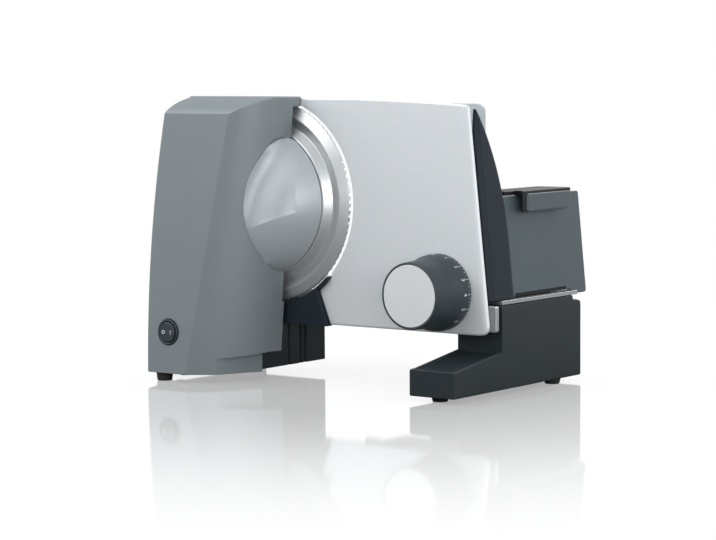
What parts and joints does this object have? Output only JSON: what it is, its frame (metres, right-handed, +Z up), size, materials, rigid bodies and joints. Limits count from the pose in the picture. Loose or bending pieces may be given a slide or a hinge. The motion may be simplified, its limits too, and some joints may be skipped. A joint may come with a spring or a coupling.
{
  "type": "food slicer",
  "caption": "Countertop food slicer: motor housing with a round serrated blade, adjustable stop plate with knob, and a carriage with food holder sliding along a bridge rail.",
  "frame": {"origin": "middle of the footprint, on the surface that the rubber feet stand on", "axes": "+X along the carriage's travel towards the operator, +Y towards the food side, +Z up"},
  "size_m": [0.325, 0.2234, 0.2349],
  "materials": {
    "silver_plastic": "metallic silver-grey moulded plastic",
    "cap_silver": "metallic silver moulded plastic",
    "polished_steel": "polished blade steel",
    "steel": "turned steel",
    "aluminium": "satin anodised",
    "brass": "sintered bronze",
    "dark_plastic": "fine-grained anthracite moulding",
    "grey_plastic": "fine-grained slate-grey moulding",
    "light_grey_plastic": "light grey moulding",
    "black_plastic": "black moulding",
    "white_plastic": "acetal",
    "rubber": "soft rubber"
  },
  "bodies": {
    "frame": {"motor_housing": "silver_plastic", "gear_head_cap": "cap_silver", "gear_frame": "aluminium", "shaft_bush": "brass", "motor_can": "steel", "motor_end_cap": "black_plastic", "base_frame": "dark_plastic", "frame_cover": "dark_plastic", "base_cover": "dark_plastic", "cover_screw_1": "steel", "cover_screw_2": "steel", "bridge_rail": "aluminium", "right_foot": "dark_plastic", "foot_cover": "dark_plastic", "rubber_foot_front_left": "rubber", "rubber_foot_rear_left": "rubber", "rubber_foot_toe": "rubber", "rubber_foot_rear_right": "rubber", "guide_bush_1": "brass", "guide_bush_2": "brass", "guide_block": "dark_plastic", "cam_follower": "steel", "blade_cover_plate": "aluminium", "switch_bezel": "black_plastic", "cord_gland": "black_plastic"},
    "cutter": {"blade": "polished_steel", "blade_hub": "steel", "blade_shaft": "steel", "blade_screw": "black_plastic", "worm_wheel": "white_plastic"},
    "rotor": {"worm_rotor": "steel", "cooling_fan": "black_plastic"},
    "stop": {"stop_plate": "aluminium", "plate_bracket": "aluminium", "guide_rod_1": "steel", "guide_rod_2": "steel", "rod_tie": "steel", "knob_stud": "steel"},
    "dial": {"knob": "dark_plastic", "knob_disc": "aluminium"},
    "carriage": {"carriage_tray": "grey_plastic", "carriage_glide_front": "white_plastic", "carriage_glide_rear": "white_plastic", "thumb_guard": "dark_plastic"},
    "holder": {"holder_hook": "grey_plastic", "pusher_plate": "light_grey_plastic", "spike_comb": "steel"},
    "rocker": {"switch_rocker": "black_plastic"}
  },
  "joints": [
    {"name": "blade_spin", "type": "hinge", "parent": "frame", "child": "cutter", "pos_m": [-0.05951, -0.0383, 0.1483], "axis": [0, 1, 0], "continuous": true},
    {"name": "motor_spin", "type": "hinge", "parent": "frame", "child": "rotor", "pos_m": [-0.08651, -0.0683, 0.0683], "axis": [0, 0, 1], "continuous": true},
    {"name": "plate_slide", "type": "slide", "parent": "frame", "child": "stop", "axis": [0, -1, 0], "range_m": [0, 0.024]},
    {"name": "knob_turn", "type": "hinge", "parent": "stop", "child": "dial", "pos_m": [0.11029, -0.0583, 0.0803], "axis": [0, -1, 0], "range_deg": [0, 337.5]},
    {"name": "carriage_slide", "type": "slide", "parent": "frame", "child": "carriage", "axis": [-1, 0, 0], "range_m": [0, 0.19]},
    {"name": "holder_slide", "type": "slide", "parent": "carriage", "child": "holder", "axis": [0, 1, 0], "range_m": [-0.018, 0.057]},
    {"name": "switch_rock", "type": "hinge", "parent": "frame", "child": "rocker", "pos_m": [-0.11331, -0.1091, 0.0413], "axis": [0, 0, 1], "range_deg": [0, 10]}
  ],
  "couplings": [
    {"joint": "motor_spin", "follows": "blade_spin", "ratio": 32},
    {"joint": "knob_turn", "follows": "plate_slide", "rad_per_m": 245.44}
  ]
}
